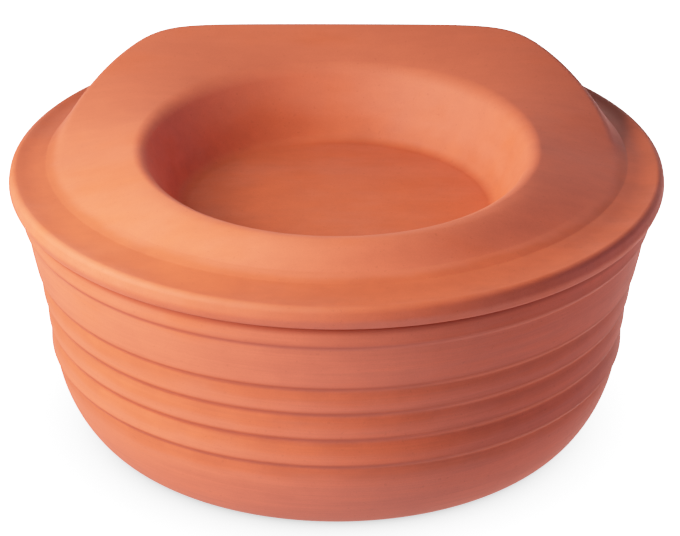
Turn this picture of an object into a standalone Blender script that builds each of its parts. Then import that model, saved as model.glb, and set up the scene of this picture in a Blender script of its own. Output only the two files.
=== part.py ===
"""Round roaster of fired clay: a turned pot, and a lid with a sunk dish that lies on its rim.

Metres, +Z up. The origin is the middle of the pot's flat foot. The lid's crown stands highest at
+Y, where it ends in the straight edge that a hand lifts it by.
"""
import math

import bpy

MM = 0.001

# Both pieces
WALL = 8.5 * MM                    # even thickness of the clay
GAP = 0.3 * MM                     # between the lid's seat and the pot's rim
STEPS = 64                         # facets round the axis

# Pot, from its rim down to its foot
POT_HEIGHT = 101.5 * MM
RIM_RADIUS = 127.0 * MM            # outside, at the collar
RIM_WIDTH = 9.0 * MM               # flat top that the lid lies on
RIM_ROUNDING = 1.5 * MM
COLLAR_HEIGHT = 8.6 * MM
WIDE_BAND_HEIGHT = 20.3 * MM
NARROW_BAND_HEIGHT = 12.1 * MM
NARROW_BAND_COUNT = 3
BODY_RADIUS = 116.9 * MM           # outside, at the lowest band's lower edge
BODY_FLARE_POWER = 1.55            # how late the wall flares out on its way up
STEP_DEPTH = 1.7 * MM              # how far each band stands proud of the next one below
STEP_HEIGHT = 1.0 * MM
BAND_CROWN = 0.35 * MM             # how far a band bulges between its edges
FOOT_RADIUS = 94.5 * MM
BOWL_POWER = 1.6                   # 2 is an ellipse, and less is a flatter curve
INNER_FOOT_RADIUS = 70.0 * MM
INNER_BOWL_POWER = 1.8
INNER_BOWL_HEIGHT = 40.0 * MM      # where the inside starts to curve in, above its floor
BOWL_STEPS = 8

# Lid, with heights measured up from its seat
FLANGE_OVERHANG = 5.0 * MM         # past the pot's collar
FLANGE_THICKNESS = 9.5 * MM
EDGE_TOP_ROUNDING = 5.0 * MM
EDGE_BOTTOM_ROUNDING = 4.4 * MM
LIP_WIDTH = 6.5 * MM               # from the flange's edge in to where its raised lip starts
LIP_RISE = 0.6 * MM                # that lip, above the flange's top
LEDGE_DROP = 0.4 * MM              # the ledge inside the lip, below the flange's top
LEDGE_WIDTH = 14.5 * MM            # from the crown's foot out to the flange's edge, at the sides
FOOT_RISE = 0.4 * MM               # the crown's foot, above the flange's top
FOOT_ROUNDING = 6.0 * MM
FLANK_RUN = 6.0 * MM               # from the crown's edge out to its foot
FLANK_RISE = 2.0 * MM
DISH_RADIUS = 77.8 * MM            # at the dish's lip
DISH_LIP_HEIGHT = 21.2 * MM
DISH_LIP_ROUNDING = 5.0 * MM
DISH_DEPTH = 27.0 * MM
DISH_FLOOR_RADIUS = 64.0 * MM
DISH_FLOOR_ROUNDING = 5.0 * MM

# Lid's places along Y, and its raised back
DISH_FORWARD = 8.8 * MM            # the dish's middle, in front of the axis
DISH_TILT = math.radians(0.8)      # the dish's lip is higher at the back
CROWN_BACK = 6.5 * MM              # the crown's middle, behind the axis
BACK_EDGE = 90.0 * MM              # from the axis to the crown's straight edge
BACK_RISE = 21.5 * MM              # that edge above the crown's edge at the sides
BACK_RISE_POWER = 1.4              # how late the crown's edge rises on its way back
BACK_SHARPNESS = 21                # how tightly the round plan turns into the straight edge
BACK_EDGE_SOFTNESS = 0.3           # how softly the ring turns over the raised edge
BACK_FOOT_SHARE = 0.5              # how far the crown's foot follows the straight edge in
BACK_RIDGE_INSET = 1.3 * MM        # the raised back is highest this far inside the crown's edge

# Lid's locating ring, which drops inside the pot's mouth
RING_CLEARANCE = 1.5 * MM
RING_DEPTH = 4.0 * MM
RING_WIDTH = 6.5 * MM
RING_ROUNDING = 1.2 * MM
HOLLOW_ROUNDING = 5.0 * MM
LIFT_START = 7.0 * MM              # clay this far above the seat follows the raised back in full

CLAY_COLOUR = (0.62, 0.22, 0.11, 1.0)
CLAY_ROUGHNESS = 0.85

RIM_INNER_RADIUS = RIM_RADIUS - RIM_WIDTH
LID_RADIUS = RIM_RADIUS + FLANGE_OVERHANG
CROWN_FOOT_RADIUS = LID_RADIUS - LEDGE_WIDTH
CROWN_FOOT_HEIGHT = FLANGE_THICKNESS + FOOT_RISE
CROWN_RADIUS = CROWN_FOOT_RADIUS - FLANK_RUN
CROWN_EDGE_HEIGHT = CROWN_FOOT_HEIGHT + FLANK_RISE
SEAT_HEIGHT = POT_HEIGHT + GAP


def clear_scene():
    """Remove every object that the file starts with."""
    for thing in list(bpy.data.objects):
        bpy.data.objects.remove(thing, do_unlink=True)


def ease(value, start, end):
    """Rise smoothly from 0 at start to 1 at end."""
    share = min(1.0, max(0.0, (value - start) / (end - start)))
    return share * share * (3.0 - 2.0 * share)


def blend(low, high, share):
    """Give the value that lies a share of the way from low to high."""
    return low + (high - low) * share


def meeting(first, second):
    """Find where two lines cross, each given by two points on it."""
    (x1, y1), (x2, y2) = first
    (x3, y3), (x4, y4) = second
    turn = (x2 - x1) * (y4 - y3) - (y2 - y1) * (x4 - x3)
    share = ((x3 - x1) * (y4 - y3) - (y3 - y1) * (x4 - x3)) / turn
    return (x1 + (x2 - x1) * share, y1 + (y2 - y1) * share)


def shifted(line, distance):
    """Move a line sideways, to its right as seen along it."""
    (x1, y1), (x2, y2) = line
    length = math.hypot(x2 - x1, y2 - y1)
    across = ((y2 - y1) / length * distance, -(x2 - x1) / length * distance)
    return ((x1 + across[0], y1 + across[1]), (x2 + across[0], y2 + across[1]))


def rounded(corners):
    """Turn corners of (radius, height, rounding, segments) into an outline with arcs."""
    outline = []
    for place, (x, y, rounding, segments) in enumerate(corners):
        if not rounding:
            outline.append((x, y))
            continue
        before = corners[place - 1]
        after = corners[place + 1]
        to_before = math.atan2(before[1] - y, before[0] - x)
        to_after = math.atan2(after[1] - y, after[0] - x)
        opening = (to_after - to_before + math.pi) % math.tau - math.pi
        half = abs(opening) / 2
        room = min(math.hypot(before[0] - x, before[1] - y), math.hypot(after[0] - x, after[1] - y))
        radius = min(rounding, 0.48 * room * math.tan(half))
        middle = to_before + opening / 2
        centre = (
            x + radius / math.sin(half) * math.cos(middle),
            y + radius / math.sin(half) * math.sin(middle),
        )
        sweep = math.pi - 2 * half
        if opening > 0:
            sweep = -sweep
        start = middle + math.pi - sweep / 2
        for step in range(segments + 1):
            angle = start + sweep * step / segments
            point = (centre[0] + radius * math.cos(angle), centre[1] + radius * math.sin(angle))
            outline.append(point)
    return outline


def bowl(top_radius, top, foot_radius, foot, power):
    """Give the curve of a bowl's wall, from its top down to where its foot begins."""
    outline = []
    for step in range(1, BOWL_STEPS + 1):
        angle = math.pi / 2 * step / BOWL_STEPS
        across = max(0.0, math.cos(angle)) ** (2 / power)
        down = math.sin(angle) ** (2 / power)
        outline.append((blend(foot_radius, top_radius, across), blend(top, foot, down)))
    return outline


def band_edges():
    """Give the height of each band's lower edge, from the collar down."""
    heights = [COLLAR_HEIGHT, WIDE_BAND_HEIGHT] + [NARROW_BAND_HEIGHT] * NARROW_BAND_COUNT
    edges = []
    level = POT_HEIGHT
    for height in heights:
        level -= height
        edges.append(level)
    return edges


def body_radius(height):
    """Give the pot's outside radius at a band's lower edge."""
    edges = band_edges()
    share = (height - edges[-1]) / (edges[0] - edges[-1])
    return BODY_RADIUS + (RIM_RADIUS - BODY_RADIUS) * share ** BODY_FLARE_POWER


def pot_profile():
    """Give the pot's section, up its inside, over its rim and down its outside."""
    inner_top = WALL + INNER_BOWL_HEIGHT
    inner_radius = BODY_RADIUS - WALL
    inside = bowl(inner_radius, inner_top, INNER_FOOT_RADIUS, WALL, INNER_BOWL_POWER)
    profile = [(0.0, WALL)] + inside[::-1]
    profile += rounded([
        (inner_radius, inner_top, 0, 0),
        (RIM_INNER_RADIUS, POT_HEIGHT, RIM_ROUNDING, 2),
        (RIM_RADIUS, POT_HEIGHT, RIM_ROUNDING, 2),
        (RIM_RADIUS, POT_HEIGHT - COLLAR_HEIGHT, 0, 0),
    ])[:-1]
    top = POT_HEIGHT
    top_radius = RIM_RADIUS
    for edge in band_edges():
        low_radius = body_radius(edge)
        if top < POT_HEIGHT:
            profile.append((top_radius, top - STEP_HEIGHT))
            profile.append(((top_radius + low_radius) / 2 + BAND_CROWN, (top + edge) / 2))
        profile.append((low_radius, edge + STEP_HEIGHT))
        profile.append((low_radius - STEP_DEPTH / 3, edge))
        top = edge
        top_radius = low_radius - STEP_DEPTH
    bowl_top = top - STEP_HEIGHT
    profile.append((top_radius, bowl_top))
    profile += bowl(top_radius, bowl_top, FOOT_RADIUS, 0.0, BOWL_POWER)
    profile.append((0.0, 0.0))
    return profile


def lid_profile():
    """Give the lid's section at its sides, down its outside and back along its underside."""
    floor = DISH_LIP_HEIGHT - DISH_DEPTH
    ring_top = ((DISH_RADIUS, DISH_LIP_HEIGHT), (CROWN_RADIUS, CROWN_EDGE_HEIGHT))
    dish_wall = ((DISH_FLOOR_RADIUS, floor), (DISH_RADIUS, DISH_LIP_HEIGHT))
    ring_slope = (DISH_LIP_HEIGHT - CROWN_EDGE_HEIGHT) / (CROWN_RADIUS - DISH_RADIUS)
    ridge = (CROWN_RADIUS - BACK_RIDGE_INSET, CROWN_EDGE_HEIGHT + BACK_RIDGE_INSET * ring_slope)
    top = rounded([
        (0.0, floor, 0, 0),
        (DISH_FLOOR_RADIUS, floor, DISH_FLOOR_ROUNDING, 5),
        (DISH_RADIUS, DISH_LIP_HEIGHT, DISH_LIP_ROUNDING, 6),
        (*ridge, 0, 0),
        (CROWN_RADIUS, CROWN_EDGE_HEIGHT, 0, 0),
        (CROWN_RADIUS + FLANK_RUN / 3, CROWN_EDGE_HEIGHT - FLANK_RISE / 3, 0, 0),
        (CROWN_FOOT_RADIUS, CROWN_FOOT_HEIGHT, FOOT_ROUNDING, 3),
        (LID_RADIUS - LIP_WIDTH, FLANGE_THICKNESS - LEDGE_DROP, 0, 0),
        (LID_RADIUS, FLANGE_THICKNESS + LIP_RISE, EDGE_TOP_ROUNDING, 5),
        (LID_RADIUS, 0.0, EDGE_BOTTOM_ROUNDING, 3),
        (RIM_INNER_RADIUS, 0.0, 0, 0),
    ])
    ring_outside = RIM_INNER_RADIUS - RING_CLEARANCE
    hollow_outside = ring_outside - RING_WIDTH
    under_ring = shifted(ring_top, WALL)
    under_wall = shifted(dish_wall, WALL)
    under_floor = floor - WALL
    outer_corner = meeting(((hollow_outside, 0.0), (hollow_outside, WALL)), under_ring)
    inner_corner = meeting(under_ring, under_wall)
    low_corner = meeting(under_wall, ((0.0, under_floor), (DISH_RADIUS, under_floor)))
    bottom = rounded([
        (LID_RADIUS, 0.0, 0, 0),
        (ring_outside, 0.0, 0, 0),
        (ring_outside, -RING_DEPTH, RING_ROUNDING, 1),
        (hollow_outside, -RING_DEPTH, RING_ROUNDING, 1),
        (*outer_corner, HOLLOW_ROUNDING, 2),
        (*inner_corner, HOLLOW_ROUNDING, 2),
        (*low_corner, DISH_FLOOR_ROUNDING + WALL, 4),
        (0.0, under_floor, 0, 0),
    ])
    return top[:-1] + bottom[1:]


def crown_edges(angle):
    """Give the crown's plan radius twice: as a plain circle, and cut straight behind."""
    behind = math.sin(angle)
    across = math.cos(angle)
    plain = CROWN_BACK * behind + math.sqrt(CROWN_RADIUS ** 2 - (CROWN_BACK * across) ** 2)
    if behind <= 0:
        return plain, plain
    straight = BACK_EDGE / behind
    power = BACK_SHARPNESS
    return plain, (plain ** -power + straight ** -power) ** (-1 / power)


def soft_lower(first, second, softness):
    """Give the lower of two values, with a soft change from one to the other."""
    share = min(1.0, max(0.0, 0.5 + 0.5 * (second - first) / softness))
    return blend(second, first, share) - softness * share * (1.0 - share)


def raise_back(radius, height, angle):
    """Move one point of the turned lid to its place, and give its shift along Y as well."""
    follow = ease(height, 0.0, LIFT_START)
    plain, edge = crown_edges(angle)
    back = max(0.0, edge * math.sin(angle))
    edge_lift = BACK_RISE * (back / BACK_EDGE) ** BACK_RISE_POWER
    spread = max(0.0, (radius - DISH_RADIUS) / (CROWN_RADIUS - DISH_RADIUS))
    down = (CROWN_FOOT_RADIUS - radius) / FLANK_RUN
    lift = edge_lift * max(0.0, soft_lower(spread, down, BACK_EDGE_SOFTNESS))
    if radius <= CROWN_RADIUS:
        moved = radius + (edge - CROWN_RADIUS) * spread * follow
        dish_lift = min(radius, DISH_RADIUS) * math.sin(angle) * math.tan(DISH_TILT)
        lift += dish_lift * (1.0 - spread)
        forward = DISH_FORWARD * (1.0 - spread)
    else:
        edge_start = LID_RADIUS - EDGE_TOP_ROUNDING
        fade = min(1.0, max(0.0, (edge_start - radius) / (edge_start - CROWN_FOOT_RADIUS)))
        foot = blend(plain, edge, BACK_FOOT_SHARE)
        outward = blend(edge, foot, min(1.0, 1.0 - down)) - CROWN_RADIUS
        moved = radius + outward * fade * follow
        forward = 0.0
    return moved, height + lift * follow, forward


def clay(name):
    """Make the fired clay's material."""
    material = bpy.data.materials.new(name)
    material.use_nodes = True
    shader = material.node_tree.nodes["Principled BSDF"]
    shader.inputs["Base Color"].default_value = CLAY_COLOUR
    shader.inputs["Roughness"].default_value = CLAY_ROUGHNESS
    shader.inputs["Metallic"].default_value = 0.0
    return material


def turned(name, profile, collection):
    """Spin a section round the Z axis with a Screw modifier."""
    mesh = bpy.data.meshes.new(name)
    edges = [(place, place + 1) for place in range(len(profile) - 1)]
    mesh.from_pydata([(radius, 0.0, height) for radius, height in profile], edges, [])
    piece = bpy.data.objects.new(name, mesh)
    collection.objects.link(piece)
    screw = piece.modifiers.new("Turn", "SCREW")
    screw.axis = "Z"
    screw.steps = STEPS
    screw.render_steps = STEPS
    screw.use_merge_vertices = True
    screw.merge_threshold = 0.0001
    screw.use_smooth_shade = True
    return piece


def made_mesh(piece, collection):
    """Replace an object by a plain mesh of what its modifiers make."""
    name = piece.name
    depsgraph = bpy.context.evaluated_depsgraph_get()
    mesh = bpy.data.meshes.new_from_object(piece.evaluated_get(depsgraph))
    bpy.data.objects.remove(piece, do_unlink=True)
    solid = bpy.data.objects.new(name, mesh)
    collection.objects.link(solid)
    return solid


def make_pot(collection, material):
    """Turn the pot."""
    pot = turned("pot", pot_profile(), collection)
    pot.data.materials.append(material)
    return pot


def make_lid(collection, material):
    """Turn the lid, then raise its crown at the back and cut the crown's edge straight there."""
    lid = made_mesh(turned("lid", lid_profile(), collection), collection)
    for vertex in lid.data.vertices:
        x, y, height = vertex.co
        radius = math.hypot(x, y)
        angle = math.atan2(y, x)
        moved, height, forward = raise_back(radius, height, angle)
        vertex.co = (moved * math.cos(angle), moved * math.sin(angle) - forward, height)
    lid.data.materials.append(material)
    lid.location.z = SEAT_HEIGHT
    return lid


def main():
    """Build the roaster in a collection of its own."""
    clear_scene()
    collection = bpy.data.collections.new("round_roaster")
    bpy.context.scene.collection.children.link(collection)
    make_pot(collection, clay("pot_clay"))
    make_lid(collection, clay("lid_clay"))


main()
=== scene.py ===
"""Round clay roaster: a banded pot and its lid with a sunk dish, on a pale studio floor.

Metres, +Z up. The origin is the middle of the pot's foot, and the lid's raised edge is at +Y.
"""
import math

import bmesh
import bpy
from bpy.props import FloatProperty, FloatVectorProperty, IntProperty, PointerProperty
from bpy.types import Operator, Panel, PropertyGroup
from mathutils import Matrix, Vector


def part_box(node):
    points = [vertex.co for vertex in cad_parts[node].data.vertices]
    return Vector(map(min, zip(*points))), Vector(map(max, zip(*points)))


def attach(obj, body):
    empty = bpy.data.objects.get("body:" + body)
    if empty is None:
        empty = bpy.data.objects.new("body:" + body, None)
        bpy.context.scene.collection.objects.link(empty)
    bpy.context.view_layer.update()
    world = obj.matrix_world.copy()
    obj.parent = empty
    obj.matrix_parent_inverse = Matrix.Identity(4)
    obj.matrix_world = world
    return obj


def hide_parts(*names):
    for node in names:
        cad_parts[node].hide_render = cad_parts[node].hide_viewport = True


bl_info = {
    "name": "Round Roaster",
    "version": (1, 0, 0),
    "blender": (4, 5, 0),
    "location": "3D Viewport > Sidebar > Roaster",
    "description": "Turns a fired clay roaster with a banded pot and a dished lid",
    "category": "Add Mesh",
}

MM = 0.001

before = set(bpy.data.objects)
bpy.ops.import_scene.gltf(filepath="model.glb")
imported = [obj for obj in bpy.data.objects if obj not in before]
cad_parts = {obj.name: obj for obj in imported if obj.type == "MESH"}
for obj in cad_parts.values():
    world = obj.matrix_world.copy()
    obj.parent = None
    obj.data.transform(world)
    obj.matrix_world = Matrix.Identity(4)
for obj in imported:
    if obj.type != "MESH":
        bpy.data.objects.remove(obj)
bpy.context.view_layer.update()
POT_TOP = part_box("pot")[1]
LID_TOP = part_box("lid")[1]


class PotSizes(PropertyGroup):
    """Sizes of the pot, from its rim down to its foot."""

    height: FloatProperty(
        name="Height", description="From the foot up to the rim", default=POT_TOP.z, unit="LENGTH"
    )
    rim_radius: FloatProperty(
        name="Rim radius", description="Outside, at the collar", default=POT_TOP.x, unit="LENGTH"
    )
    rim_width: FloatProperty(
        name="Rim width", description="Flat top under the lid", default=9.0 * MM, unit="LENGTH"
    )
    wall: FloatProperty(
        name="Wall", description="Thickness of the clay", default=8.5 * MM, unit="LENGTH"
    )
    collar_height: FloatProperty(
        name="Collar", description="Height of the collar", default=8.6 * MM, unit="LENGTH"
    )
    wide_band_height: FloatProperty(
        name="Wide band", description="Height of the top band", default=20.3 * MM, unit="LENGTH"
    )
    narrow_band_height: FloatProperty(
        name="Narrow band", description="Height of each band below", default=12.1 * MM,
        unit="LENGTH",
    )
    narrow_band_count: IntProperty(
        name="Narrow bands", description="Bands under the wide one", default=3, min=0
    )
    body_radius: FloatProperty(
        name="Body radius", description="At the lowest band's edge", default=116.9 * MM,
        unit="LENGTH",
    )
    flare_power: FloatProperty(
        name="Flare", description="How late the wall flares out on its way up", default=1.55
    )
    step_depth: FloatProperty(
        name="Step", description="Each band proud of the next below", default=1.7 * MM,
        unit="LENGTH",
    )
    step_height: FloatProperty(
        name="Step height", description="Height of the turned step", default=1.7 * MM, unit="LENGTH"
    )
    band_crown: FloatProperty(
        name="Band crown", description="Bulge of a band", default=0.35 * MM, unit="LENGTH"
    )
    foot_radius: FloatProperty(
        name="Foot radius", description="Flat foot", default=94.5 * MM, unit="LENGTH"
    )
    bowl_power: FloatProperty(
        name="Bowl curve", description="2 is an ellipse, and less is flatter", default=1.6
    )
    inner_foot_radius: FloatProperty(
        name="Inner floor", description="Flat floor inside", default=70.0 * MM, unit="LENGTH"
    )
    inner_bowl_height: FloatProperty(
        name="Inner bowl", description="Height of the inside curve", default=40.0 * MM,
        unit="LENGTH",
    )


class LidSizes(PropertyGroup):
    """Sizes of the lid, with heights measured up from its seat."""

    radius: FloatProperty(
        name="Radius", description="Outside, at the flange", default=LID_TOP.x, unit="LENGTH"
    )
    seat_gap: FloatProperty(
        name="Seat gap", description="Between the seat and the rim", default=0.3 * MM, unit="LENGTH"
    )
    flange: FloatProperty(
        name="Flange", description="Thickness of the flange", default=9.5 * MM, unit="LENGTH"
    )
    edge_top_rounding: FloatProperty(
        name="Edge top", description="Rounding of the edge", default=4.0 * MM, unit="LENGTH"
    )
    edge_bottom_rounding: FloatProperty(
        name="Edge bottom", description="Rounding under the edge", default=4.4 * MM, unit="LENGTH"
    )
    edge_bevel: FloatProperty(
        name="Edge bevel", description="How far the edge slopes in above", default=0.9 * MM,
        unit="LENGTH",
    )
    edge_undercut: FloatProperty(
        name="Edge undercut", description="How far the edge slopes in below", default=1.9 * MM,
        unit="LENGTH",
    )
    lip_width: FloatProperty(
        name="Lip width", description="Of the flange's raised lip", default=8.5 * MM, unit="LENGTH"
    )
    lip_rise: FloatProperty(
        name="Lip rise", description="Lip above the flange's top", default=0.6 * MM, unit="LENGTH"
    )
    ledge_drop: FloatProperty(
        name="Ledge drop", description="Ledge below the flange's top", default=0.4 * MM,
        unit="LENGTH",
    )
    ledge_width: FloatProperty(
        name="Ledge", description="From the crown's foot outward", default=14.5 * MM, unit="LENGTH"
    )
    foot_rise: FloatProperty(
        name="Crown foot", description="Foot above the flange's top", default=0.4 * MM,
        unit="LENGTH",
    )
    foot_rounding: FloatProperty(
        name="Foot rounding", description="At the crown's foot", default=6.0 * MM, unit="LENGTH"
    )
    flank_run: FloatProperty(
        name="Flank run", description="From the crown's edge out", default=6.0 * MM, unit="LENGTH"
    )
    flank_rise: FloatProperty(
        name="Flank rise", description="Crown's edge above its foot", default=2.0 * MM,
        unit="LENGTH",
    )
    dish_radius: FloatProperty(
        name="Dish radius", description="At the dish's lip", default=77.8 * MM, unit="LENGTH"
    )
    dish_lip_height: FloatProperty(
        name="Dish lip", description="Height of the lip", default=21.2 * MM, unit="LENGTH"
    )
    dish_lip_rounding: FloatProperty(
        name="Lip rounding", description="Rounding of the lip", default=5.5 * MM, unit="LENGTH"
    )
    lip_swell: FloatProperty(
        name="Lip swell", description="Swelling of the crown in front of the dish",
        default=2.0 * MM,
        unit="LENGTH",
    )
    lip_ease: FloatProperty(
        name="Lip ease", description="How much softer the lip turns in front", default=1.4 * MM,
        unit="LENGTH",
    )
    lip_blend: FloatProperty(
        name="Lip blend", description="How far the raised crown runs into the lip",
        default=5.0 * MM,
        unit="LENGTH",
    )
    dish_depth: FloatProperty(
        name="Dish depth", description="From the lip to the floor", default=27.0 * MM, unit="LENGTH"
    )
    dish_floor_radius: FloatProperty(
        name="Dish floor", description="Radius of the floor", default=64.0 * MM, unit="LENGTH"
    )
    dish_floor_rounding: FloatProperty(
        name="Floor rounding", description="At the wall's foot", default=5.0 * MM, unit="LENGTH"
    )
    dish_forward: FloatProperty(
        name="Dish forward", description="In front of the axis", default=8.8 * MM, unit="LENGTH"
    )
    dish_tilt: FloatProperty(
        name="Dish tilt", description="Lip higher behind", default=math.radians(0.8),
        subtype="ANGLE",
    )
    crown_back: FloatProperty(
        name="Crown back", description="Its middle behind the axis", default=6.5 * MM, unit="LENGTH"
    )
    back_edge: FloatProperty(
        name="Straight edge", description="From the axis to it", default=90.0 * MM, unit="LENGTH"
    )
    back_rise: FloatProperty(
        name="Back rise", description="Rise of the straight edge", default=21.5 * MM, unit="LENGTH"
    )
    back_rise_power: FloatProperty(
        name="Rise curve", description="How late the crown's edge rises", default=1.4
    )
    back_sharpness: FloatProperty(
        name="Sharpness", description="How tightly the plan turns straight", default=21.0
    )
    back_edge_softness: FloatProperty(
        name="Softness", description="How softly the raised edge turns over", default=0.3
    )
    back_foot_share: FloatProperty(
        name="Back foot", description="How far the foot follows the straight edge", default=0.5
    )
    ring_clearance: FloatProperty(
        name="Ring clearance", description="Ring to the mouth", default=1.5 * MM, unit="LENGTH"
    )
    ring_depth: FloatProperty(
        name="Ring depth", description="Ring below the seat", default=4.0 * MM, unit="LENGTH"
    )
    ring_width: FloatProperty(
        name="Ring width", description="Width of the ring", default=6.5 * MM, unit="LENGTH"
    )
    hollow_rounding: FloatProperty(
        name="Hollow", description="Roundings underneath", default=5.0 * MM, unit="LENGTH"
    )
    lift_start: FloatProperty(
        name="Lift start", description="Clay above this follows", default=7.0 * MM, unit="LENGTH"
    )


class ClayLooks(PropertyGroup):
    """Colours and finish of the fired clay."""

    # rose is the clay clear of the painted shade; ochre is darker, partly the clay's own colour and
    # partly painted shade in sheltered places
    rose: FloatVectorProperty(
        name="Rose clay", description="Rubbed and outer places", subtype="COLOR", size=3,
        default=(0.70, 0.139, 0.073),
    )
    ochre: FloatVectorProperty(
        name="Ochre clay", description="Sheltered places", subtype="COLOR", size=3,
        default=(0.61, 0.104, 0.042),
    )
    # painted shade: the dark clay laid into the seam, under the steps and at the dish's and crown's
    # feet
    shade: FloatVectorProperty(
        name="Crease clay", description="Down in a crease", subtype="COLOR", size=3,
        default=(0.36, 0.045, 0.014),
    )
    streak: FloatProperty(name="Streaks", description="How much they vary in tone", default=0.07)
    mottle: FloatProperty(
        name="Mottling", description="How much patches vary in tone", default=0.04
    )
    blotch: FloatProperty(
        name="Blotches", description="How much sheltered clay varies in tone", default=0.08
    )
    grain: FloatProperty(
        name="Grain", description="Depth of the fine grain", default=0.05 * MM, unit="LENGTH"
    )
    groove: FloatProperty(
        name="Grooves", description="Depth of turning marks", default=0.06 * MM, unit="LENGTH"
    )
    gloss: FloatProperty(name="Gloss", description="Strength of the dull gloss", default=0.4)
    roughness: FloatProperty(name="Roughness", description="Dullness of the gloss", default=0.7)
    # painted shade on the lid: darker behind, and on its ledge except in front
    back_shade: FloatProperty(
        name="Back shade", description="How much darker the lid was fired behind", default=0.25
    )
    ledge_shade: FloatProperty(
        name="Ledge shade", description="How much darker its ledge is, except in front",
        default=0.16,
    )


class StageLooks(PropertyGroup):
    """Camera and lights of the studio."""

    camera_distance: FloatProperty(
        name="Distance", description="In front of the axis", default=1.28264, unit="LENGTH"
    )
    camera_height: FloatProperty(
        name="Height", description="Above the floor", default=0.69894, unit="LENGTH"
    )
    camera_pitch: FloatProperty(
        name="Pitch", description="Down from level", default=math.radians(26.35), subtype="ANGLE"
    )
    camera_yaw: FloatProperty(
        name="Yaw", description="To the right", default=math.radians(0.065), subtype="ANGLE"
    )
    camera_roll: FloatProperty(
        name="Roll", description="Of the camera", default=math.radians(0.12), subtype="ANGLE"
    )
    camera_lens: FloatProperty(
        name="Lens", description="Focal length", default=185.3, unit="CAMERA"
    )
    gloss_world: FloatProperty(name="Gloss", description="World in the clay's gloss", default=1.5)
    shadow_reach: FloatProperty(
        name="Shadow reach", description="Of the floor's soft shadow", default=0.04, unit="LENGTH"
    )


# how finely the pieces are turned: steps in a quarter turn, and distances between points
QUARTER_STEPS = 48
SKIN_SPACING = 0.8 * MM
FLANK_SPACING = 0.4 * MM
INSIDE_SPACING = 3.0 * MM
OUTER_BOWL_STEPS = 48
INNER_BOWL_STEPS = 32
MERGE = 0.01 * MM
ROUNDING_ROOM = 0.48         # of a corner's shorter side, which a rounding may take
TURNING_CORE = 25.0 * MM     # nearer the axis than this, the turning marks run together

# roundings of the pot
INNER_BOWL_POWER = 1.8
RIM_ROUNDING = 1.5 * MM
BAND_TOP_ROUNDING = 2.0 * MM
BAND_FOOT_ROUNDING = 2.2 * MM
BAND_FOOT_SHARE = 0.3        # of a step's height, from a band's lower edge up to its corner
BAND_MIDDLE_ROUNDING = 60.0 * MM

# roundings of the lid
LEDGE_ROUNDING = 30.0 * MM
EDGE_WIDEST = 0.48           # of the flange's thickness, where the edge reaches out most
RING_ROUNDING = 1.2 * MM
SEAT_WIDTH = 8.0 * MM        # from the flange's edge in to where its underside begins

# how the crown meets the dish in front and behind
SWELL_PEAK = 27 / 4          # brings the highest value of spread * (1 - spread) ** 2 up to 1
LIP_EASE_REACH = 10.0 * MM
FORWARD_POWER = 1.4          # how late the dish's shift fades out towards the crown's edge


def ease(value, start, end):
    """Rise smoothly from 0 at start to 1 at end."""
    share = min(1.0, max(0.0, (value - start) / (end - start)))
    return share * share * (3.0 - 2.0 * share)


def blend(low, high, share):
    """Give the value that lies a share of the way from low to high."""
    return low + (high - low) * share


def meeting(first, second):
    """Find where two lines cross, each given by two points on it."""
    (x1, y1), (x2, y2) = first
    (x3, y3), (x4, y4) = second
    turn = (x2 - x1) * (y4 - y3) - (y2 - y1) * (x4 - x3)
    share = ((x3 - x1) * (y4 - y3) - (y3 - y1) * (x4 - x3)) / turn
    return (x1 + (x2 - x1) * share, y1 + (y2 - y1) * share)


def shifted(line, distance):
    """Move a line sideways, to its right as seen along it."""
    (x1, y1), (x2, y2) = line
    length = math.hypot(x2 - x1, y2 - y1)
    across = ((y2 - y1) / length * distance, -(x2 - x1) / length * distance)
    return ((x1 + across[0], y1 + across[1]), (x2 + across[0], y2 + across[1]))


def rounded(corners):
    """Turn corners of (radius, height, rounding, segments) into an outline with arcs."""
    outline = []
    for place, (x, y, rounding, segments) in enumerate(corners):
        if not rounding:
            outline.append((x, y))
            continue
        before = corners[place - 1]
        after = corners[place + 1]
        to_before = math.atan2(before[1] - y, before[0] - x)
        to_after = math.atan2(after[1] - y, after[0] - x)
        opening = (to_after - to_before + math.pi) % math.tau - math.pi
        half = abs(opening) / 2
        room = min(math.hypot(before[0] - x, before[1] - y), math.hypot(after[0] - x, after[1] - y))
        radius = min(rounding, ROUNDING_ROOM * room * math.tan(half))
        middle = to_before + opening / 2
        centre = (
            x + radius / math.sin(half) * math.cos(middle),
            y + radius / math.sin(half) * math.sin(middle),
        )
        sweep = math.pi - 2 * half
        if opening > 0:
            sweep = -sweep
        start = middle + math.pi - sweep / 2
        for step in range(segments + 1):
            angle = start + sweep * step / segments
            point = (centre[0] + radius * math.cos(angle), centre[1] + radius * math.sin(angle))
            outline.append(point)
    return outline


def bowl(top_radius, top, foot_radius, foot, power, steps):
    """Give the curve of a bowl's wall, from its top down to where its foot begins."""
    outline = []
    for step in range(1, steps + 1):
        angle = math.pi / 2 * step / steps
        across = max(0.0, math.cos(angle)) ** (2 / power)
        down = math.sin(angle) ** (2 / power)
        outline.append((blend(foot_radius, top_radius, across), blend(top, foot, down)))
    return outline


def filled_in(outline, spacing):
    """Add points to the long straight stretches of an outline."""
    points = [outline[0]]
    for start, end in zip(outline, outline[1:]):
        pieces = max(1, math.ceil(math.dist(start, end) / spacing))
        for piece in range(1, pieces + 1):
            share = piece / pieces
            points.append((blend(start[0], end[0], share), blend(start[1], end[1], share)))
    return points


def band_edges(pot):
    """Give the height of each band's lower edge, from the collar down."""
    heights = [pot.collar_height, pot.wide_band_height]
    heights += [pot.narrow_band_height] * pot.narrow_band_count
    edges = []
    level = pot.height
    for height in heights:
        level -= height
        edges.append(level)
    return edges


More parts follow.
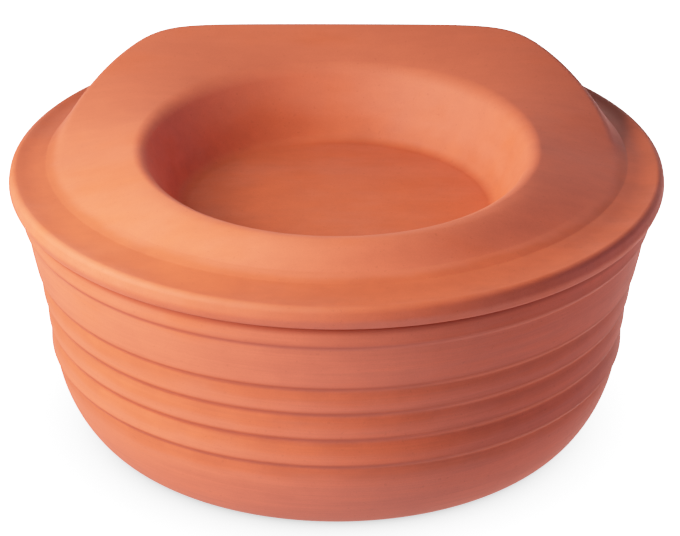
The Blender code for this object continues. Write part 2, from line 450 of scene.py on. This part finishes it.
def body_radius(pot, height):
    """Give the pot's outside radius at a band's lower edge."""
    edges = band_edges(pot)
    share = (height - edges[-1]) / (edges[0] - edges[-1])
    return pot.body_radius + (pot.rim_radius - pot.body_radius) * share ** pot.flare_power


def pot_inside(pot):
    """Give the pot's section up its inside, from the axis to its rim."""
    inner_top = pot.wall + pot.inner_bowl_height
    inner_radius = pot.body_radius - pot.wall
    floor_radius = pot.inner_foot_radius
    curve = bowl(
        inner_radius, inner_top, floor_radius, pot.wall, INNER_BOWL_POWER, INNER_BOWL_STEPS,
    )
    mouth = pot.rim_radius - pot.rim_width
    corners = rounded([
        (inner_radius, inner_top, 0, 0),
        (mouth, pot.height, RIM_ROUNDING, 6),
        (pot.rim_radius - pot.rim_width / 2, pot.height, 0, 0),
    ])
    return filled_in([(0.0, pot.wall)] + curve[::-1] + corners, INSIDE_SPACING)


def pot_outside(pot):
    """Give the pot's section down its outside, from its rim to the axis."""
    corners = [
        (pot.rim_radius - pot.rim_width / 2, pot.height, 0, 0),
        (pot.rim_radius, pot.height, RIM_ROUNDING, 6),
    ]
    top = pot.height
    top_radius = pot.rim_radius
    for edge in band_edges(pot):
        low_radius = body_radius(pot, edge)
        if top < pot.height:
            middle = (top_radius + low_radius) / 2 + pot.band_crown
            corners.append((top_radius, top - pot.step_height, BAND_TOP_ROUNDING, 5))
            corners.append((middle, (top + edge) / 2, BAND_MIDDLE_ROUNDING, 6))
        corner = edge + pot.step_height * BAND_FOOT_SHARE
        corners.append((low_radius, corner, BAND_FOOT_ROUNDING, 6))
        top = edge
        top_radius = low_radius - pot.step_depth
    bowl_top = top - pot.step_height
    corners.append((top_radius, bowl_top, 0, 0))
    curve = bowl(top_radius, bowl_top, pot.foot_radius, 0.0, pot.bowl_power, OUTER_BOWL_STEPS)
    return filled_in(rounded(corners) + curve, SKIN_SPACING) + [(0.0, 0.0)]


def crown_radii(lid):
    """Give the radius of the crown's edge and of its foot, before they are set back."""
    foot = lid.radius - lid.ledge_width
    return foot - lid.flank_run, foot


def lid_top(lid):
    """Give the lid's section at its sides, from the axis out over its top to its edge."""
    floor = lid.dish_lip_height - lid.dish_depth
    crown, foot = crown_radii(lid)
    foot_height = lid.flange + lid.foot_rise
    outline = rounded([
        (0.0, floor, 0, 0),
        (lid.dish_floor_radius, floor, lid.dish_floor_rounding, 16),
        (lid.dish_radius, lid.dish_lip_height, lid.dish_lip_rounding, 16),
        (crown, foot_height + lid.flank_rise, 0, 0),
    ])
    flank = rounded([
        (crown, foot_height + lid.flank_rise, 0, 0),
        (foot, foot_height, lid.foot_rounding, 12),
        (lid.radius - lid.lip_width, lid.flange - lid.ledge_drop, LEDGE_ROUNDING, 8),
        (lid.radius - lid.edge_bevel, lid.flange + lid.lip_rise, lid.edge_top_rounding, 10),
        (lid.radius, lid.flange * EDGE_WIDEST, lid.edge_top_rounding, 10),
        (lid.radius - lid.edge_undercut, 0.0, lid.edge_bottom_rounding, 10),
        (lid.radius - SEAT_WIDTH, 0.0, 0, 0),
    ])
    return filled_in(outline, SKIN_SPACING)[:-1] + filled_in(flank, FLANK_SPACING)


def lid_underside(lid, pot):
    """Give the lid's section back along its underside, from its edge to the axis."""
    floor = lid.dish_lip_height - lid.dish_depth
    crown = crown_radii(lid)[0]
    crown_height = lid.flange + lid.foot_rise + lid.flank_rise
    crown_top = ((lid.dish_radius, lid.dish_lip_height), (crown, crown_height))
    dish_wall = ((lid.dish_floor_radius, floor), (lid.dish_radius, lid.dish_lip_height))
    ring_outside = pot.rim_radius - pot.rim_width - lid.ring_clearance
    hollow_outside = ring_outside - lid.ring_width
    under_crown = shifted(crown_top, pot.wall)
    under_wall = shifted(dish_wall, pot.wall)
    under_floor = floor - pot.wall
    outer_corner = meeting(((hollow_outside, 0.0), (hollow_outside, pot.wall)), under_crown)
    inner_corner = meeting(under_crown, under_wall)
    low_corner = meeting(under_wall, ((0.0, under_floor), (lid.dish_radius, under_floor)))
    outline = rounded([
        (lid.radius - SEAT_WIDTH, 0.0, 0, 0),
        (ring_outside, 0.0, 0, 0),
        (ring_outside, -lid.ring_depth, RING_ROUNDING, 4),
        (hollow_outside, -lid.ring_depth, RING_ROUNDING, 4),
        (*outer_corner, lid.hollow_rounding, 6),
        (*inner_corner, lid.hollow_rounding, 6),
        (*low_corner, lid.dish_floor_rounding + pot.wall, 12),
        (0.0, under_floor, 0, 0),
    ])
    return filled_in(outline, INSIDE_SPACING)


def crown_edges(lid, angle):
    """Give the crown's plan radius twice: as a plain circle, and cut straight behind."""
    behind = math.sin(angle)
    across = math.cos(angle)
    crown = crown_radii(lid)[0]
    plain = lid.crown_back * behind + math.sqrt(crown ** 2 - (lid.crown_back * across) ** 2)
    if behind <= 0:
        return plain, plain
    straight = lid.back_edge / behind
    power = lid.back_sharpness
    return plain, (plain ** -power + straight ** -power) ** (-1 / power)


def soft_lower(first, second, softness):
    """Give the lower of two values, with a soft change from one to the other."""
    share = min(1.0, max(0.0, 0.5 + 0.5 * (second - first) / softness))
    return blend(second, first, share) - softness * share * (1.0 - share)


def soft_rise(value, softness):
    """Give 0 well below 0 and the value itself well above, with a soft change between."""
    if abs(value) >= softness:
        return max(0.0, value)
    return (value + softness) ** 2 / (4.0 * softness)


def raise_back(lid, radius, height, angle):
    """Give a turned point's new radius and height, and how far it then moves forward."""
    crown, foot = crown_radii(lid)
    follow = ease(height, 0.0, lid.lift_start)
    plain, edge = crown_edges(lid, angle)
    back = max(0.0, edge * math.sin(angle))
    edge_lift = lid.back_rise * (back / lid.back_edge) ** lid.back_rise_power
    # spread is 0 over the dish and 1 at the crown's edge, and down is 1 there and 0 at its foot
    spread = soft_rise(radius - lid.dish_radius, lid.lip_blend) / (crown - lid.dish_radius)
    down = (foot - radius) / lid.flank_run
    lift = edge_lift * max(0.0, soft_lower(spread, down, lid.back_edge_softness))
    if radius <= crown:
        moved = radius + (edge - crown) * spread * follow
        dish_lift = min(radius, lid.dish_radius) * math.sin(angle) * math.tan(lid.dish_tilt)
        lift += dish_lift * (1.0 - spread)
        in_front = min(0.0, math.sin(angle)) ** 2
        lift += lid.lip_swell * in_front * SWELL_PEAK * spread * (1.0 - spread) ** 2
        off_lip = ease(abs(radius - lid.dish_radius), 0.0, LIP_EASE_REACH)
        lift -= lid.lip_ease * in_front * (1.0 - off_lip)
        forward = lid.dish_forward * (1.0 - spread ** FORWARD_POWER)
    else:
        edge_start = lid.radius - lid.edge_top_rounding
        fade = min(1.0, max(0.0, (edge_start - radius) / (edge_start - foot)))
        moved_foot = blend(plain, edge, lid.back_foot_share)
        outward = blend(edge, moved_foot, min(1.0, 1.0 - down)) - crown
        moved = radius + outward * fade * follow
        forward = 0.0
    return moved, height + lift * follow, forward


# painted shade in the creases: how far each reaches to both sides, and how deep its shade is
SEAM_CREASE = (2.8 * MM, 1.0)
STEP_CREASE = (2.6 * MM, 0.65)
EDGE_CREASE = (1.8 * MM, 0.9)
DISH_FOOT_CREASE = (5.0 * MM, 0.1)
CROWN_FOOT_CREASE = (8.0 * MM, 0.2)
SEAM_DROP = 1.0 * MM         # below the rim, where the seam is seen
STEP_CREASE_INSET = 0.3      # of a step's depth
EDGE_CREASE_INSET = 2.0 * MM
EDGE_CREASE_HEIGHT = 0.2 * MM
CROWN_FOOT_OUTSET = 2.0 * MM

# share of ochre in the clay, from 0 for rose to 1; the darker ochre is partly the clay's own colour
# and partly painted shade
POT_INSIDE_OCHRE = 0.35
WIDE_BAND_OCHRE = 0.25
DISH_FLOOR_OCHRE = 0.55
CROWN_OCHRE = 0.1
LID_EDGE_OCHRE = 0.5
UNDERSIDE_OCHRE = 0.45

# where the ochre and the ledge's painted shade begin to fade and have gone
BAND_FADE = (2.0 * MM, 11.0 * MM)        # below a step
STEP_OCHRE_RISE = 1.0 * MM               # above a step, where its ochre begins
DISH_FOOT_FADE = (1.0 * MM, 9.0 * MM)    # to both sides of the dish wall's foot
DISH_WALL_FADE = (2.0 * MM, 2.2 * MM)    # past the wall's foot, and past the dish's lip
EDGE_OCHRE_FADE = (7.0 * MM, 1.0 * MM)   # in from the lid's edge
LEDGE_FADE = 4.0 * MM                    # in from the lid's edge


def lengths(outline):
    """Give how far along the outline each of its points lies."""
    total = 0.0
    along = [total]
    for start, end in zip(outline, outline[1:]):
        total += math.dist(start, end)
        along.append(total)
    return along


def clear_of(outline, marks):
    """Give 1 for each point clear of all marks, and less by a mark's depth inside its width."""
    along = lengths(outline)
    places = []
    for place, width, depth in marks:
        nearest = min(range(len(outline)), key=lambda index: math.dist(outline[index], place))
        places.append((along[nearest], width, depth))
    values = []
    for here in along:
        depths = [depth * (1.0 - abs(here - there) / width) for there, width, depth in places]
        values.append(1.0 - max(0.0, *depths))
    return values


def pot_tones(pot, outline):
    """Give the pot's colour marks: creases of painted shade, and ochre places that are partly
    painted shade.
    """
    creases = [((pot.rim_radius, pot.height - SEAM_DROP), *SEAM_CREASE)]
    levels = band_edges(pot)
    for level in levels:
        radius = body_radius(pot, level)
        creases.append(((radius - pot.step_depth * STEP_CREASE_INSET, level), *STEP_CREASE))
    ochre = []
    rim = outline.index(max(outline, key=lambda point: point[1]))
    for index, (radius, height) in enumerate(outline):
        above = [level for level in levels if level + STEP_OCHRE_RISE > height]
        if index <= rim or not above:
            ochre.append(POT_INSIDE_OCHRE)
            continue
        # ochre under each step, fading downward: partly the clay's tone, partly painted shade under
        # the step
        sheltered = 1.0 - ease(above[-1] - height, *BAND_FADE)
        ochre.append(sheltered * (WIDE_BAND_OCHRE if len(above) == 1 else 1.0))
    return {"crease": clear_of(outline, creases), "ochre": ochre}


def lid_tones(lid, outline):
    """Give the lid's colour marks: creases of painted shade, ochre places that are partly painted
    shade, and the ledge, where shade is painted.
    """
    crown, foot = crown_radii(lid)
    floor = lid.dish_lip_height - lid.dish_depth
    under_edge = lid.radius - lid.edge_undercut
    creases = [
        ((under_edge - EDGE_CREASE_INSET, EDGE_CREASE_HEIGHT), *EDGE_CREASE),
        ((lid.dish_floor_radius, floor), *DISH_FOOT_CREASE),
        ((foot + CROWN_FOOT_OUTSET, lid.flange), *CROWN_FOOT_CREASE),
    ]
    top_count = len(lid_top(lid))
    past_foot, past_lip = DISH_WALL_FADE
    wall = (lid.dish_floor_radius + past_foot, lid.dish_radius + past_lip)
    edge = [lid.radius - inset for inset in EDGE_OCHRE_FADE]
    ochre = []
    ledge = []
    for index, (radius, height) in enumerate(outline):
        # the ledge mark, where shade is painted away from the front
        on_ledge = ease(radius, crown, foot) - ease(radius, lid.radius - LEDGE_FADE, lid.radius)
        ledge.append(on_ledge if index < top_count else 0.0)
        if index >= top_count:
            ochre.append(UNDERSIDE_OCHRE)
        elif radius <= crown:
            floor_edge = 1.0 - ease(abs(radius - lid.dish_floor_radius), *DISH_FOOT_FADE)
            along_wall = blend(DISH_FLOOR_OCHRE, CROWN_OCHRE, ease(radius, *wall))
            ochre.append(max(floor_edge, along_wall))
        else:
            inner = blend(CROWN_OCHRE, 1.0, ease(radius, crown, foot))
            ochre.append(blend(inner, LID_EDGE_OCHRE, ease(radius, *edge)))
    return {"crease": clear_of(outline, creases), "ochre": ochre, "ledge": ledge}


def spun(outline, tones):
    """Spin an outline of (radius, height) points a quarter turn, and mirror that all round."""
    shape = bmesh.new()
    tones = {"along": lengths(outline), **tones}
    for name in tones:
        shape.verts.layers.float.new(name)
    shape.verts.layers.float_vector.new("turning")
    points = [shape.verts.new((radius, 0.0, height)) for radius, height in outline]
    for name, values in tones.items():
        layer = shape.verts.layers.float[name]
        for point, value in zip(points, values):
            point[layer] = value
    edges = [shape.edges.new(pair) for pair in zip(points, points[1:])]
    bmesh.ops.spin(
        shape, geom=points + edges, axis=(0, 0, 1), cent=(0, 0, 0),
        angle=math.pi / 2, steps=QUARTER_STEPS,
    )
    for axis in "XY":
        whole = shape.verts[:] + shape.edges[:] + shape.faces[:]
        bmesh.ops.mirror(shape, geom=whole, merge_dist=MERGE, axis=axis)
    bmesh.ops.remove_doubles(shape, verts=shape.verts[:], dist=MERGE)
    bmesh.ops.recalc_face_normals(shape, faces=shape.faces[:])
    along = shape.verts.layers.float["along"]
    turning = shape.verts.layers.float_vector["turning"]
    for vertex in shape.verts:
        reach = max(vertex.co.xy.length, TURNING_CORE)
        vertex[turning] = (vertex.co.x / reach, vertex.co.y / reach, vertex[along])
    return shape


def finished(name, shape, node, body):
    """Make a piece of a bmesh, which stands for a CAD node and rides on its body."""
    mesh = bpy.data.meshes.new(name)
    shape.to_mesh(mesh)
    shape.free()
    mesh.shade_smooth()
    piece = bpy.data.objects.new(name, mesh)
    bpy.context.scene.collection.objects.link(piece)
    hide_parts(node)
    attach(piece, body)
    return piece


class Nodes:
    """Adds nodes to a material or a world, and wires them."""

    # sockets of the Mix node, which has others for plain values and for directions
    MIX_FACTOR, MIX_FIRST, MIX_SECOND, MIX_RESULT = 0, 6, 7, 2

    def __init__(self, owner):
        owner.use_nodes = True
        self.tree = owner.node_tree
        self.tree.nodes.clear()

    def add(self, kind, inputs=(), **settings):
        """Add a node with its settings. Each input is a value or another node's socket."""
        node = self.tree.nodes.new(kind)
        for name, value in settings.items():
            setattr(node, name, value)
        for name, value in dict(inputs).items():
            socket = node.inputs[name]
            if isinstance(value, bpy.types.NodeSocket):
                self.tree.links.new(value, socket)
            else:
                socket.default_value = value
        return node

    def mark(self, name):
        """Read one of the piece's own marks."""
        return self.add("ShaderNodeAttribute", attribute_name=name)

    def spread(self, value, low, high, new_low, new_high):
        """Carry a value from one range to another, smoothly and kept inside."""
        inputs = {
            "Value": value,
            "From Min": low,
            "From Max": high,
            "To Min": new_low,
            "To Max": new_high,
        }
        carried = self.add("ShaderNodeMapRange", inputs, interpolation_type="SMOOTHSTEP")
        return carried.outputs["Result"]

    def math(self, operation, first, second):
        """Add, multiply or otherwise join two values."""
        return self.add("ShaderNodeMath", {0: first, 1: second}, operation=operation).outputs[0]

    def noise(self, vector, scale, detail, roughness):
        """Make soft noise over a place."""
        inputs = {"Vector": vector, "Scale": scale, "Detail": detail, "Roughness": roughness}
        return self.add("ShaderNodeTexNoise", inputs).outputs["Fac"]

    def stretched(self, vector, scale):
        """Stretch a place by a scale for each axis."""
        return self.add("ShaderNodeMapping", {"Vector": vector, "Scale": scale}).outputs["Vector"]

    def mixed(self, factor, first, second, blend_type="MIX"):
        """Mix two colours."""
        inputs = {self.MIX_FACTOR: factor, self.MIX_FIRST: first, self.MIX_SECOND: second}
        mix = self.add("ShaderNodeMix", inputs, data_type="RGBA", blend_type=blend_type)
        return mix.outputs[self.MIX_RESULT]


# each noise in the clay: its scale, detail and roughness
PATCHES = (22.0, 4.0, 0.55)
SMALL_PATCHES = (90.0, 3.0, 0.6)
BLOTCHES = (60.0, 4.0, 0.6)
GRAIN = (1900.0, 3.0, 0.6)
SPECKS = (700.0, 1.0, 0.4)
BRUSHED = (1.0, 4.0, 0.6)
FINE_MARKS = (1.0, 3.0, 0.6)

# how much closer together the marks lie along each axis: round and along the pot, or across the lid
POT_BRUSHED = (1.6, 1.6, 260.0)
POT_FINE_MARKS = (3.0, 3.0, 1100.0)
LID_BRUSHED = (14.0, 60.0, 60.0)
LID_FINE_MARKS = (50.0, 260.0, 260.0)

# the range in which a noise mostly lies, and the range where it makes a speck
NOISE_RANGE = (0.3, 0.7)
WIDE_NOISE_RANGE = (0.25, 0.75)
SPECK_RANGE = (0.70, 0.76)

# how much the noises vary the clay's tone and its ochre
SPECK_TONE = 0.88
GRAIN_TONE = 0.04
SMALL_PATCH_SHARE = 0.6      # of the mottling
FINE_MARK_SHARE = 0.7        # of the streaks
LID_STREAK_SHARE = 0.6       # of the pot's streaks
LID_GROOVE_SHARE = 0.5       # of the pot's turning marks
PATCH_OCHRE = 0.3
BRUSHED_OCHRE = 0.25
# share of the painted crease shade where a crease is deepest
CREASE_SHADE_COVER = 0.9

# the places along Y between which the lid's painted shades set in
BACK_SHADE_RANGE = (-20.0 * MM, 70.0 * MM)
LEDGE_SHADE_RANGE = (-100.0 * MM, -30.0 * MM)


def lid_shade(nodes, looks, place, tone):
    """Paint shade on the lid's clay behind, and on its ledge everywhere except in front."""
    along = nodes.add("ShaderNodeSeparateXYZ", {"Vector": place}).outputs["Y"]
    # painted shade behind the lid
    fired = nodes.spread(along, *BACK_SHADE_RANGE, 1.0, 1.0 - looks.back_shade)
    tone = nodes.math("MULTIPLY", tone, fired)
    # painted shade on the ledge, except in front
    past_front = nodes.spread(along, *LEDGE_SHADE_RANGE, 0.0, looks.ledge_shade)
    on_ledge = nodes.math("MULTIPLY", nodes.mark("ledge").outputs["Fac"], past_front)
    return nodes.math("MULTIPLY", tone, nodes.math("SUBTRACT", 1.0, on_ledge))


def blotched(nodes, looks, place, sheltered, tone):
    """Vary the tone of the sheltered clay in soft blotches."""
    blotches = nodes.noise(place, *BLOTCHES)
    blotches = nodes.spread(blotches, *NOISE_RANGE, -looks.blotch, looks.blotch)
    blotches = nodes.math("MULTIPLY", blotches, sheltered)
    return nodes.math("MULTIPLY", tone, nodes.math("ADD", 1.0, blotches))


def clay_material(name, looks, turned):
    """Make fired clay: ochre in sheltered places, partly painted shade, rose clear of it, painted
    shade in the creases, streaks if it was turned.
    """
    material = bpy.data.materials.new(name)
    nodes = Nodes(material)
    place = nodes.add("ShaderNodeTexCoord").outputs["Object"]
    patches = nodes.noise(place, *PATCHES)
    small_patches = nodes.noise(place, *SMALL_PATCHES)
    if turned:
        turning = nodes.mark("turning").outputs["Vector"]
        brushed = nodes.noise(nodes.stretched(turning, POT_BRUSHED), *BRUSHED)
        fine = nodes.noise(nodes.stretched(turning, POT_FINE_MARKS), *FINE_MARKS)
        streak = looks.streak
        groove_depth = looks.groove
    else:
        brushed = nodes.noise(nodes.stretched(place, LID_BRUSHED), *BRUSHED)
        fine = nodes.noise(nodes.stretched(place, LID_FINE_MARKS), *FINE_MARKS)
        streak = looks.streak * LID_STREAK_SHARE
        groove_depth = looks.groove * LID_GROOVE_SHARE
    grain = nodes.noise(place, *GRAIN)
    specks = nodes.noise(place, *SPECKS)

    # the ochre mark: the clay's own tone in sheltered places, partly painted shade
    sheltered = nodes.mark("ochre").outputs["Fac"]
    ochre = sheltered
    for value, amount in ((patches, PATCH_OCHRE), (brushed, BRUSHED_OCHRE)):
        ochre = nodes.math("ADD", ochre, nodes.spread(value, *NOISE_RANGE, -amount, amount))
    ochre = nodes.spread(ochre, 0.0, 1.0, 0.0, 1.0)
    colour = nodes.mixed(ochre, (*looks.rose, 1.0), (*looks.ochre, 1.0))
    tones = (
        (patches, NOISE_RANGE, looks.mottle),
        (small_patches, NOISE_RANGE, looks.mottle * SMALL_PATCH_SHARE),
        (brushed, NOISE_RANGE, streak),
        (fine, WIDE_NOISE_RANGE, streak * FINE_MARK_SHARE),
        (grain, NOISE_RANGE, GRAIN_TONE),
    )
    tone = 1.0
    for value, noise_range, amount in tones:
        varied = nodes.spread(value, *noise_range, 1.0 - amount, 1.0 + amount)
        tone = nodes.math("MULTIPLY", tone, varied)
    if not turned:
        tone = lid_shade(nodes, looks, place, tone)
    tone = nodes.math("MULTIPLY", tone, nodes.spread(specks, *SPECK_RANGE, 1.0, SPECK_TONE))
    tone = blotched(nodes, looks, place, sheltered, tone)
    colour = nodes.mixed(1.0, colour, tone, "MULTIPLY")
    # painted shade in the creases: the crease clay mixed in by each mark's depth
    crease = nodes.spread(nodes.mark("crease").outputs["Fac"], 0.0, 1.0, CREASE_SHADE_COVER, 0.0)
    colour = nodes.mixed(crease, colour, (*looks.shade, 1.0))

    groove = nodes.add("ShaderNodeBump", {
        "Height": fine, "Strength": 1.0, "Distance": groove_depth,
    }).outputs["Normal"]
    bump = nodes.add("ShaderNodeBump", {
        "Height": grain, "Strength": 1.0, "Distance": looks.grain, "Normal": groove,
    }).outputs["Normal"]
    shader = nodes.add("ShaderNodeBsdfPrincipled", {
        "Base Color": colour,
        "Roughness": looks.roughness,
        "Specular IOR Level": looks.gloss,
        "Normal": bump,
    })
    nodes.add("ShaderNodeOutputMaterial", {"Surface": shader.outputs["BSDF"]})
    return material


class ROASTER_OT_pot(Operator):
    """Turn the banded pot"""

    bl_idname = "roaster.pot"
    bl_label = "Pot"

    def execute(self, context):
        pot = context.scene.roaster_pot
        outline = pot_inside(pot) + pot_outside(pot)[1:]
        shape = spun(outline, pot_tones(pot, outline))
        piece = finished("turned_pot", shape, "pot", "pot")
        piece.data.materials.append(clay_material("pot_clay", context.scene.roaster_clay, True))
        return {"FINISHED"}


class ROASTER_OT_lid(Operator):
    """Turn the lid and raise its back"""

    bl_idname = "roaster.lid"
    bl_label = "Lid"

    def execute(self, context):
        pot = context.scene.roaster_pot
        lid = context.scene.roaster_lid
        outline = lid_top(lid) + lid_underside(lid, pot)[1:]
        shape = spun(outline, lid_tones(lid, outline))
        seat = pot.height + lid.seat_gap
        for vertex in shape.verts:
            x, y, height = vertex.co
            radius = math.hypot(x, y)
            angle = math.atan2(y, x)
            moved, height, forward = raise_back(lid, radius, height, angle)
            across, along = moved * math.cos(angle), moved * math.sin(angle) - forward
            vertex.co = (across, along, height + seat)
        piece = finished("turned_lid", shape, "lid", "lid")
        piece.data.materials.append(clay_material("lid_clay", context.scene.roaster_clay, False))
        return {"FINISHED"}


# each lamp: name, azimuth and height in degrees, distance in metres, strength and colour
AREA_LAMPS = (
    ("key_softbox", 208, 22, 1.5, 2.05, (1.0, 0.79, 0.66)),
    ("near_softbox", 212, 36, 0.3, 0.80, (1.0, 0.95, 0.72)),
)
# each sun: name, azimuth and height in degrees, strength and colour
SOFT_SUNS = (
    ("side_fill", 0, 12, 0.29, (0.96, 0.64, 1.0)),
    ("floor_bounce", 270, -60, 0.74, (0.96, 0.86, 0.96)),
    ("back_fill", 75, -8, 0.45, (1.0, 0.84, 0.78)),
)
SUN_SPREAD = math.radians(60.0)
BOX_SIZE_SHARE = 0.5         # of a softbox's distance, for its side
LIT_HEIGHT = 80.0 * MM       # of the place that the lamps aim at

# light at which the view turns white, and points of its tone curve as shares of that
WHITE = 4.0
CURVE_SHARES = (0.025, 0.05, 0.1, 0.175, 0.25, 0.4, 0.6)
ALL_COLOURS = 3              # the curve that holds for red, green and blue alike

# the floor and the world behind it
PLAIN_WHITE = (1.0, 1.0, 1.0, 1.0)
WORLD_GLOW = 1.2             # of white, so that the background never greys
FLOOR_HALF = 4.0             # of its side, in metres
FLOOR_DROP = 0.2 * MM        # below the pot's foot
SHELTER_SAMPLES = 24         # rays that feel for the pot above the floor
# glow under the darkest of the floor's painted shadow
FLOOR_GLOW = 1.08            # where the pot shelters the floor most
SKY_GLOW = 5.4               # added for open sky
SKY_HIDDEN = 0.09            # open sky that counts as none


def floor_material(stage):
    """Make a pale floor that glows white, with a painted soft shadow where the pot shelters it."""
    material = bpy.data.materials.new("floor")
    nodes = Nodes(material)
    reach = {"Distance": stage.shadow_reach}
    shelter = nodes.add("ShaderNodeAmbientOcclusion", reach, samples=SHELTER_SAMPLES)
    # painted shadow: the floor's glow dims where the pot hides the sky above it
    open_sky = nodes.math("SUBTRACT", shelter.outputs["AO"], SKY_HIDDEN)
    open_sky = nodes.math("MAXIMUM", open_sky, 0.0)
    strength = nodes.math("ADD", FLOOR_GLOW, nodes.math("MULTIPLY", open_sky, SKY_GLOW))
    glow = nodes.add("ShaderNodeEmission", {"Color": PLAIN_WHITE, "Strength": strength})
    nodes.add("ShaderNodeOutputMaterial", {"Surface": glow.outputs["Emission"]})
    return material


def studio_world(stage):
    """Make a white world for the camera, dim in the clay's gloss, which lights nothing."""
    world = bpy.data.worlds.new("studio")
    nodes = Nodes(world)
    ray = nodes.add("ShaderNodeLightPath").outputs
    seen = nodes.math("MULTIPLY", ray["Is Camera Ray"], WHITE * WORLD_GLOW)
    gloss = nodes.math("MULTIPLY", ray["Is Glossy Ray"], stage.gloss_world)
    strength = nodes.math("ADD", seen, gloss)
    background = nodes.add("ShaderNodeBackground", {"Color": PLAIN_WHITE, "Strength": strength})
    nodes.add("ShaderNodeOutputWorld", {"Surface": background.outputs["Background"]})
    return world


def add_floor(stage):
    """Lay the floor just under the pot. It lights nothing and shows in no gloss."""
    shape = bmesh.new()
    bmesh.ops.create_grid(shape, x_segments=1, y_segments=1, size=FLOOR_HALF)
    bmesh.ops.translate(shape, verts=shape.verts[:], vec=(0, 0, -FLOOR_DROP))
    mesh = bpy.data.meshes.new("floor")
    shape.to_mesh(mesh)
    shape.free()
    mesh.materials.append(floor_material(stage))
    floor = bpy.data.objects.new("floor", mesh)
    bpy.context.scene.collection.objects.link(floor)
    floor.visible_diffuse = False
    floor.visible_glossy = False
    floor.visible_shadow = False


def add_lamp(data, colour, azimuth, height, distance):
    """Hang a lamp round the roaster at an azimuth and a height in degrees, aimed at its middle."""
    data.color = colour
    lamp = bpy.data.objects.new(data.name, data)
    bpy.context.scene.collection.objects.link(lamp)
    lamp.visible_camera = False
    turn = math.radians(azimuth)
    rise = math.radians(height)
    toward = Vector((
        math.cos(rise) * math.cos(turn), math.cos(rise) * math.sin(turn), math.sin(rise),
    ))
    lamp.location = Vector((0.0, 0.0, LIT_HEIGHT)) + toward * distance
    lamp.rotation_euler = toward.to_track_quat("Z", "Y").to_euler()


def add_lamps():
    """Hang the softboxes and the soft suns."""
    for name, azimuth, height, distance, strength, colour in AREA_LAMPS:
        data = bpy.data.lights.new(name, "AREA")
        data.shape = "SQUARE"
        data.size = distance * BOX_SIZE_SHARE
        # the strength is what reaches the roaster, however far away the softbox hangs
        data.energy = 4 * math.pi * distance ** 2 * strength
        add_lamp(data, colour, azimuth, height, distance)
    for name, azimuth, height, strength, colour in SOFT_SUNS:
        data = bpy.data.lights.new(name, "SUN")
        data.angle = SUN_SPREAD
        data.energy = math.pi * strength
        add_lamp(data, colour, azimuth, height, 1.0)


def add_camera(stage):
    """Set the camera in front of the roaster, turned by its yaw, its pitch and then its roll."""
    pitch = stage.camera_pitch
    yaw = stage.camera_yaw
    roll = stage.camera_roll
    ahead = Vector((
        math.sin(yaw) * math.cos(pitch), math.cos(yaw) * math.cos(pitch), -math.sin(pitch),
    ))
    across = Vector((math.cos(yaw), -math.sin(yaw), 0.0))
    upward = across.cross(ahead)
    right = across * math.cos(roll) + upward * math.sin(roll)
    top = upward * math.cos(roll) - across * math.sin(roll)
    data = bpy.data.cameras.new("camera")
    data.lens = stage.camera_lens
    camera = bpy.data.objects.new("camera", data)
    bpy.context.scene.collection.objects.link(camera)
    turn = Matrix((right, top, -ahead)).transposed().to_4x4()
    place = Matrix.Translation((0.0, -stage.camera_distance, stage.camera_height))
    camera.matrix_world = place @ turn
    bpy.context.scene.camera = camera


def soften_tones(view):
    """Give the view a film's soft shoulder, so that bright clay pales instead of clipping."""
    view.view_transform = "Standard"
    view.use_curve_mapping = True
    mapping = view.curve_mapping
    mapping.white_level = (WHITE, WHITE, WHITE)
    curve = mapping.curves[ALL_COLOURS]
    for share in CURVE_SHARES:
        curve.points.new(share, 1.0 - math.exp(-WHITE * share))
    mapping.update()


class ROASTER_OT_stage(Operator):
    """Set the floor, the lights and the camera"""

    bl_idname = "roaster.stage"
    bl_label = "Stage"

    def execute(self, context):
        stage = context.scene.roaster_stage
        add_floor(stage)
        context.scene.world = studio_world(stage)
        add_lamps()
        add_camera(stage)
        soften_tones(context.scene.view_settings)
        return {"FINISHED"}


class ROASTER_PT_panel(Panel):
    """Sidebar panel with the roaster's steps and settings"""

    bl_idname = "ROASTER_PT_panel"
    bl_label = "Round Roaster"
    bl_space_type = "VIEW_3D"
    bl_region_type = "UI"
    bl_category = "Roaster"

    def draw(self, context):
        for operator in OPERATORS:
            self.layout.operator(operator.bl_idname)
        for group_name, group in GROUPS.items():
            box = self.layout.box()
            box.label(text=group.__doc__)
            for name in group.__annotations__:
                box.prop(getattr(context.scene, group_name), name)


GROUPS = {
    "roaster_pot": PotSizes,
    "roaster_lid": LidSizes,
    "roaster_clay": ClayLooks,
    "roaster_stage": StageLooks,
}
OPERATORS = (ROASTER_OT_pot, ROASTER_OT_lid, ROASTER_OT_stage)


def register():
    """Register every class, and put the settings on the scene."""
    for name, group in GROUPS.items():
        bpy.utils.register_class(group)
        setattr(bpy.types.Scene, name, PointerProperty(type=group))
    for operator in OPERATORS:
        bpy.utils.register_class(operator)
    bpy.utils.register_class(ROASTER_PT_panel)


def unregister():
    """Take everything off again."""
    bpy.utils.unregister_class(ROASTER_PT_panel)
    for operator in reversed(OPERATORS):
        bpy.utils.unregister_class(operator)
    for name, group in reversed(GROUPS.items()):
        delattr(bpy.types.Scene, name)
        bpy.utils.unregister_class(group)


def main():
    """Make the pot, the lid and the stage."""
    register()
    bpy.ops.roaster.pot()
    bpy.ops.roaster.lid()
    bpy.ops.roaster.stage()


if __name__ == "__main__":
    main()
